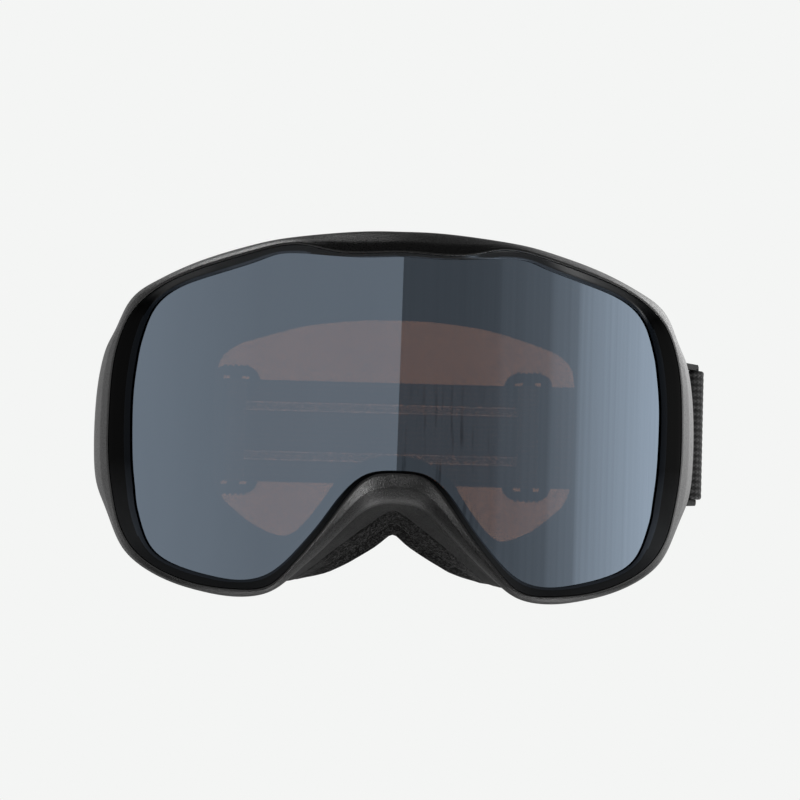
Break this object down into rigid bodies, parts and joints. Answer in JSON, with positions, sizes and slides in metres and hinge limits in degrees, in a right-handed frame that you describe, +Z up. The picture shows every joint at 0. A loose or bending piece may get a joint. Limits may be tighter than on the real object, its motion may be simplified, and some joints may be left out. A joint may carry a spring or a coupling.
{
  "type": "ski goggles",
  "caption": "Ski goggles with a cylindrical double lens, vented face frame, layered face foam and an adjustable elastic strap on hinged clips.",
  "frame": {"origin": "on the face plane at the middle of the goggles' height and width, where the face foam meets the face", "axes": "+X to the wearer's left, which is right for someone facing the lens; +Y from the lens to the back of the head; +Z up"},
  "size_m": [0.1878, 0.2139, 0.1039],
  "materials": {
    "shell": "matte fine grain",
    "bezel": "gloss black",
    "outer_lens": "polished, grey-brown tint with a faint blue mirror",
    "inner_lens": "polished, light brown, anti-fog",
    "spacer": "closed-cell foam tape",
    "inner_frame": "matte",
    "vent_foam": "open-cell foam",
    "foam_base": "cut foam",
    "foam_mid": "cut foam",
    "fleece": "brushed fleece",
    "pin": "brushed",
    "clip": "matte",
    "slider": "matte",
    "webbing": "knitted elastic",
    "silicone": "speckled silicone",
    "thread": "sewn"
  },
  "bodies": {
    "frame": {"face_fleece": "fleece", "face_foam_base": "foam_base", "face_foam_mid": "foam_mid", "hinge_pin_left": "pin", "hinge_pin_right": "pin", "inner_frame": "inner_frame", "inner_lens": "inner_lens", "lens_bezel": "bezel", "lens_spacer_seal": "spacer", "outer_frame": "shell", "outer_lens": "outer_lens", "silicone_grip_lower": "silicone", "silicone_grip_upper": "silicone", "strap_rear": "webbing", "strap_return_left": "webbing", "strap_return_right": "webbing", "strap_side_left": "webbing", "strap_side_right": "webbing", "vent_foam_bottom_left": "vent_foam", "vent_foam_bottom_right": "vent_foam", "vent_foam_side_left": "vent_foam", "vent_foam_side_right": "vent_foam", "vent_foam_top_left": "vent_foam", "vent_foam_top_right": "vent_foam"},
    "clip_left": {"strap_clip_left": "clip", "strap_clip_fold_left": "webbing"},
    "slider_left": {"strap_slider_left": "slider", "strap_end_loop_left": "webbing", "bar_tack_left": "thread"},
    "clip_right": {"strap_clip_right": "clip", "strap_clip_fold_right": "webbing"},
    "slider_right": {"strap_slider_right": "slider", "strap_end_loop_right": "webbing", "bar_tack_right": "thread"}
  },
  "joints": [
    {"name": "clip_left_swing", "type": "hinge", "parent": "frame", "child": "clip_left", "pos_m": [-0.0858, 0.012, -0.00296], "axis": [0, 0.0236, 0.9997], "range_deg": [-5, 25], "deforming": ["strap_side_left", "strap_return_left"]},
    {"name": "clip_right_swing", "type": "hinge", "parent": "frame", "child": "clip_right", "pos_m": [0.0858, 0.012, -0.00296], "axis": [0, 0.0236, 0.9997], "range_deg": [-3, 26], "deforming": ["strap_side_right", "strap_return_right"]},
    {"name": "slider_left_travel", "type": "slide", "parent": "frame", "child": "slider_left", "axis": [1, 0, 0], "range_m": [0, 0.025], "deforming": ["strap_return_left"]},
    {"name": "slider_right_travel", "type": "slide", "parent": "frame", "child": "slider_right", "axis": [-1, 0, 0], "range_m": [0, 0.025], "deforming": ["strap_return_right"]}
  ]
}
